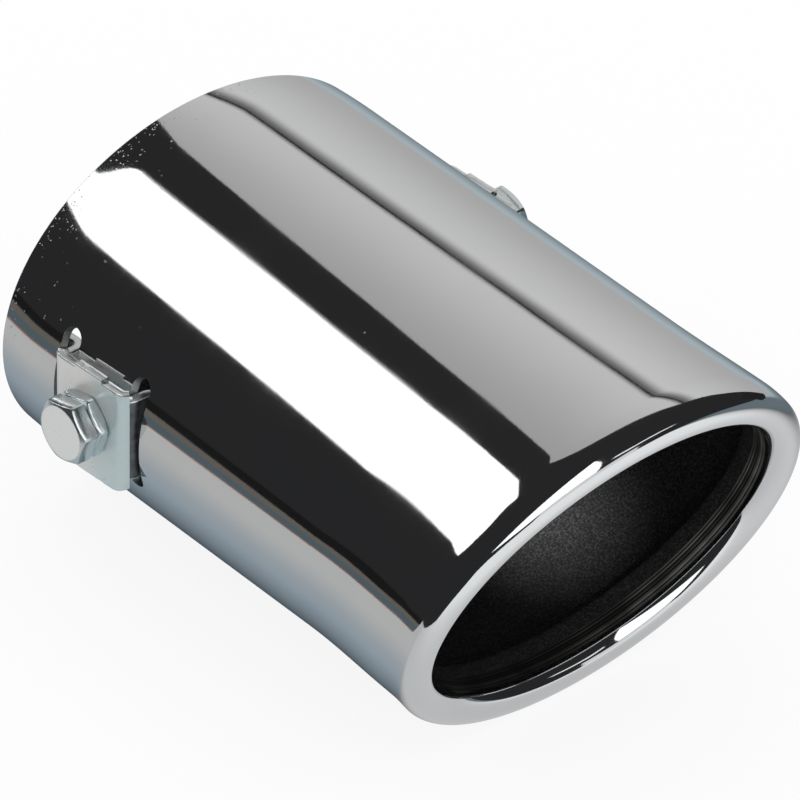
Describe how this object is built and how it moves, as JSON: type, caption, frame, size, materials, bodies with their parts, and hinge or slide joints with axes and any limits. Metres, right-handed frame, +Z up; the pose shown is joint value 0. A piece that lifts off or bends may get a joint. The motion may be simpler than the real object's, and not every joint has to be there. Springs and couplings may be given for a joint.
{
  "type": "exhaust tip",
  "caption": "Polished oval exhaust tip with a slanted outlet, a rolled lip, a black inside and a bracketed clamp screw with a lock nut on each side.",
  "frame": {"origin": "centre of the rear opening, on the tube's axis", "axes": "+X along the tube from the rear opening to the outlet, +Z up across the short way of the oval, -Y towards the left clamp screw"},
  "size_m": [0.1325, 0.1141, 0.0781],
  "materials": {
    "polished_steel": "mirror polish outside, matt black paint inside",
    "zinc_plate": "bright zinc plating on sheared sheet",
    "zinc_screw": "bright zinc plating"
  },
  "bodies": {
    "tip": {"tip_body": "polished_steel", "left_clamp_bracket": "zinc_plate", "right_clamp_bracket": "zinc_plate"},
    "left_screw": {"left_clamp_bolt": "zinc_screw", "left_lock_nut": "zinc_screw"},
    "right_screw": {"right_clamp_bolt": "zinc_screw", "right_lock_nut": "zinc_screw"}
  },
  "joints": [
    {"name": "left_screw_travel", "type": "slide", "parent": "tip", "child": "left_screw", "axis": [0, -1, 0], "range_m": [0, 0.018]},
    {"name": "right_screw_travel", "type": "slide", "parent": "tip", "child": "right_screw", "axis": [0, 1, 0], "range_m": [0, 0.018]}
  ]
}
